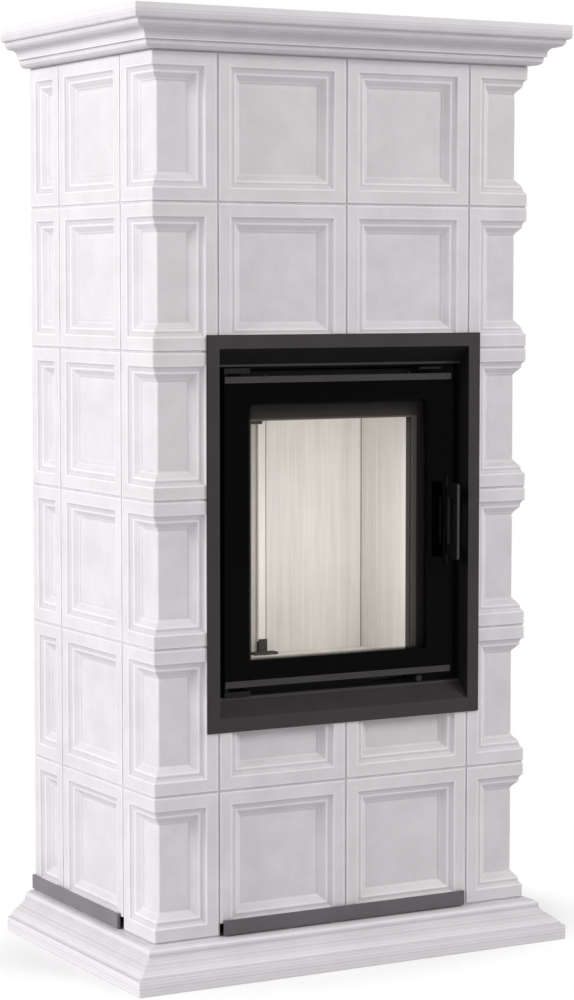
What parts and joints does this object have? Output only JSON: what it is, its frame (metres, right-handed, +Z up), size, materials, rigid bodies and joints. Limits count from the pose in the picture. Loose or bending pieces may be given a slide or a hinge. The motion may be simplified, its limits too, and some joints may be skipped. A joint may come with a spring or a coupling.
{
  "type": "tiled fireplace with fireplace insert",
  "caption": "Fireplace of glazed relief tiles on a moulded base with a cornice, with a built-in glazed insert: hinged door, lifting handle and air slide.",
  "frame": {"origin": "On the floor, under the middle of the bounding box.", "axes": "+X to the right seen from the front, +Y to the back (the wall), +Z up. Metres."},
  "size_m": [0.766, 0.493, 1.465],
  "materials": {
    "glazed_tile": "cream white glaze, glossy, slightly uneven",
    "mortar": "matt joint mortar",
    "backing_board": "matt mineral board",
    "anthracite": "anthracite stove paint, matt",
    "black_steel": "black stove paint, matt",
    "bare_steel": "sheet steel",
    "zinc_steel": "zinc plated steel",
    "lining_board": "cream lining board, matt, grainy",
    "cast_iron": "grey cast iron",
    "glass": "clear stove glass with a black printed border",
    "rope": "braided glass fibre rope",
    "tape": "flat glass fibre tape",
    "brass": "turned brass"
  },
  "bodies": {
    "surround": {"base_front": "glazed_tile", "base_left": "glazed_tile", "base_right": "glazed_tile", "cornice_front": "glazed_tile", "cornice_left": "glazed_tile", "cornice_right": "glazed_tile", "corner_tiles": "glazed_tile", "front_tiles_upper": "glazed_tile", "front_tiles_cut": "glazed_tile", "front_tiles_bottom": "glazed_tile", "side_tiles": "glazed_tile", "half_tiles": "glazed_tile", "top_slab": "glazed_tile", "tile_joints": "mortar", "side_boards": "backing_board", "front_board_upper": "backing_board", "front_board_lower": "backing_board", "back_panel": "backing_board", "vent_strip_front": "anthracite", "vent_strips_side": "anthracite", "strip_spacers": "anthracite", "top_grille": "anthracite", "insert_frame": "anthracite", "door_brackets": "anthracite", "face_plate": "black_steel", "threshold": "black_steel", "air_wash_duct": "black_steel", "strip_brackets": "black_steel", "flue_pipe": "black_steel", "flue_collar": "black_steel", "leg_feet": "black_steel", "tile_lintel": "bare_steel", "firebox_shell": "bare_steel", "stand_legs": "bare_steel", "air_box": "bare_steel", "ash_pan": "bare_steel", "keeper": "bare_steel", "slider_guides": "bare_steel", "back_screws": "zinc_steel", "fresh_air_pipe": "zinc_steel", "rosettes": "zinc_steel", "lining_back": "lining_board", "lining_sides": "lining_board", "lining_floor": "lining_board", "lining_strip": "lining_board", "baffle": "lining_board", "grate": "cast_iron", "hinge_washer": "brass"},
    "door": {"door_frame": "black_steel", "door_glass": "glass", "glass_tape": "tape", "door_gasket": "rope", "glass_rails": "anthracite", "rail_screws": "zinc_steel", "hinge_pins": "zinc_steel", "lever_pin": "zinc_steel", "lever_washers": "brass"},
    "handle": {"handle_lever": "anthracite"},
    "air_slide": {"air_slider": "bare_steel", "slider_knob": "anthracite"}
  },
  "joints": [
    {"name": "door_hinge", "type": "hinge", "parent": "surround", "child": "door", "pos_m": [-0.1966, -0.1655, 0.68], "axis": [0, 0, -1], "range_deg": [0, 100]},
    {"name": "handle_pivot", "type": "hinge", "parent": "door", "child": "handle", "pos_m": [0.1954, -0.1625, 0.6832], "axis": [-1, 0, 0], "range_deg": [0, 22]},
    {"name": "air_slide_travel", "type": "slide", "parent": "surround", "child": "air_slide", "axis": [-1, 0, 0], "range_m": [0, 0.07]}
  ]
}
